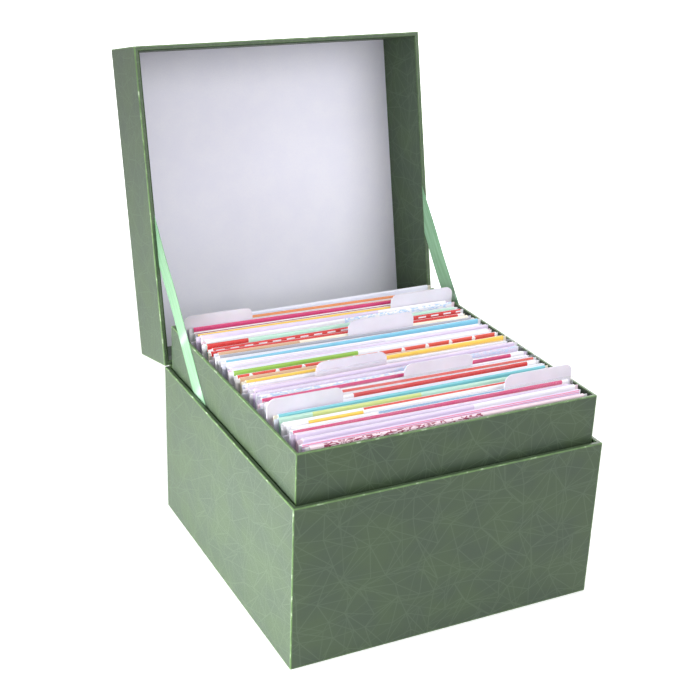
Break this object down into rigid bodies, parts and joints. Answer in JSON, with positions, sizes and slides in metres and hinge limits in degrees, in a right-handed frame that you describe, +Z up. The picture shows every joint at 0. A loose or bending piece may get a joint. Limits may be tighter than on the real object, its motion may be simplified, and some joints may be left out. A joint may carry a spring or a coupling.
{
  "type": "greeting card box",
  "caption": "Paper-wrapped rigid board box with a shoulder collar, a hinged lid held open by ribbons, tabbed dividers and card sets standing between them",
  "frame": {"origin": "centre of the underside of the base, on the surface that the box stands on", "axes": "+Z up, +X to the right seen from the front, -Y towards the front wall, +Y towards the hinge; the lid is drawn open as far as its ribbons allow"},
  "size_m": [0.203, 0.2968, 0.304],
  "materials": {
    "greyboard": "raw greyboard",
    "wrap_paper": "printed wrap, faint satin",
    "stay_paper": "gummed kraft tape",
    "liner_paper": "plain green lining paper",
    "panel_paper": "smooth pale panel",
    "underside_paper": "plain dark paper",
    "ribbon": "satin ribbon",
    "divider_sheet": "frosted",
    "card_paper": "smooth card",
    "envelope_paper": "plain white",
    "sleeve_film": "clear film"
  },
  "bodies": {
    "box": {"base_front_board": "greyboard", "base_rear_board": "greyboard", "base_left_board": "greyboard", "base_right_board": "greyboard", "base_floor_board": "greyboard", "base_corner_stays": "stay_paper", "base_wrap": "wrap_paper", "base_underside_sheet": "underside_paper", "base_floor_liner": "liner_paper", "collar_front_board": "greyboard", "collar_rear_board": "greyboard", "collar_left_board": "greyboard", "collar_right_board": "greyboard", "collar_corner_stays": "stay_paper", "collar_wrap": "wrap_paper", "hinge_strip_outer": "wrap_paper", "hinge_strip_inner": "wrap_paper", "ribbon_stay_left": "ribbon", "ribbon_stay_right": "ribbon"},
    "lid": {"lid_front_board": "greyboard", "lid_rear_board": "greyboard", "lid_left_board": "greyboard", "lid_right_board": "greyboard", "lid_top_board": "greyboard", "lid_corner_stays": "stay_paper", "lid_wrap": "wrap_paper", "lid_wall_lining": "liner_paper", "lid_top_panel": "panel_paper"},
    "divider_1": {"divider_1": "divider_sheet"},
    "divider_2": {"divider_2": "divider_sheet"},
    "divider_3": {"divider_3": "divider_sheet"},
    "divider_4": {"divider_4": "divider_sheet"},
    "divider_5": {"divider_5": "divider_sheet"},
    "divider_6": {"divider_6": "divider_sheet"},
    "divider_7": {"divider_7": "divider_sheet"},
    "card_section_1": {"greeting_cards_1": "card_paper", "envelopes_1": "envelope_paper"},
    "card_section_2": {"greeting_cards_2": "card_paper", "envelopes_2": "envelope_paper"},
    "card_section_3": {"greeting_cards_3": "card_paper", "envelopes_3": "envelope_paper"},
    "card_section_4": {"greeting_cards_4": "card_paper", "envelopes_4": "envelope_paper"},
    "card_section_5": {"greeting_cards_5": "card_paper", "envelopes_5": "envelope_paper", "clear_sleeves_5": "sleeve_film"},
    "card_section_6": {"greeting_cards_6": "card_paper", "envelopes_6": "envelope_paper", "clear_sleeves_6": "sleeve_film"},
    "card_section_7": {"greeting_cards_7": "card_paper", "envelopes_7": "envelope_paper"},
    "card_section_8": {"greeting_cards_8": "card_paper", "envelopes_8": "envelope_paper", "clear_sleeves_8": "sleeve_film"}
  },
  "joints": [
    {"name": "lid_hinge", "type": "hinge", "parent": "box", "child": "lid", "pos_m": [0, 0.10221, 0.1045], "axis": [-1, 0, 0], "range_deg": [-102.5, 0], "deforming": ["hinge_strip_outer", "hinge_strip_inner", "ribbon_stay_left", "ribbon_stay_right"]},
    {"name": "divider_1_lift", "type": "slide", "parent": "box", "child": "divider_1", "axis": [0, 0, 1], "range_m": [0, 0.13]},
    {"name": "divider_2_lift", "type": "slide", "parent": "box", "child": "divider_2", "axis": [0, 0, 1], "range_m": [0, 0.13]},
    {"name": "divider_3_lift", "type": "slide", "parent": "box", "child": "divider_3", "axis": [0, 0, 1], "range_m": [0, 0.13]},
    {"name": "divider_4_lift", "type": "slide", "parent": "box", "child": "divider_4", "axis": [0, 0, 1], "range_m": [0, 0.13]},
    {"name": "divider_5_lift", "type": "slide", "parent": "box", "child": "divider_5", "axis": [0, 0, 1], "range_m": [0, 0.13]},
    {"name": "divider_6_lift", "type": "slide", "parent": "box", "child": "divider_6", "axis": [0, 0, 1], "range_m": [0, 0.13]},
    {"name": "divider_7_lift", "type": "slide", "parent": "box", "child": "divider_7", "axis": [0, 0, 1], "range_m": [0, 0.13]},
    {"name": "card_section_1_lift", "type": "slide", "parent": "box", "child": "card_section_1", "axis": [0, 0, 1], "range_m": [0, 0.13]},
    {"name": "card_section_2_lift", "type": "slide", "parent": "box", "child": "card_section_2", "axis": [0, 0, 1], "range_m": [0, 0.13]},
    {"name": "card_section_3_lift", "type": "slide", "parent": "box", "child": "card_section_3", "axis": [0, 0, 1], "range_m": [0, 0.13]},
    {"name": "card_section_4_lift", "type": "slide", "parent": "box", "child": "card_section_4", "axis": [0, 0, 1], "range_m": [0, 0.13]},
    {"name": "card_section_5_lift", "type": "slide", "parent": "box", "child": "card_section_5", "axis": [0, 0, 1], "range_m": [0, 0.13]},
    {"name": "card_section_6_lift", "type": "slide", "parent": "box", "child": "card_section_6", "axis": [0, 0, 1], "range_m": [0, 0.13]},
    {"name": "card_section_7_lift", "type": "slide", "parent": "box", "child": "card_section_7", "axis": [0, 0, 1], "range_m": [0, 0.13]},
    {"name": "card_section_8_lift", "type": "slide", "parent": "box", "child": "card_section_8", "axis": [0, 0, 1], "range_m": [0, 0.13]}
  ]
}
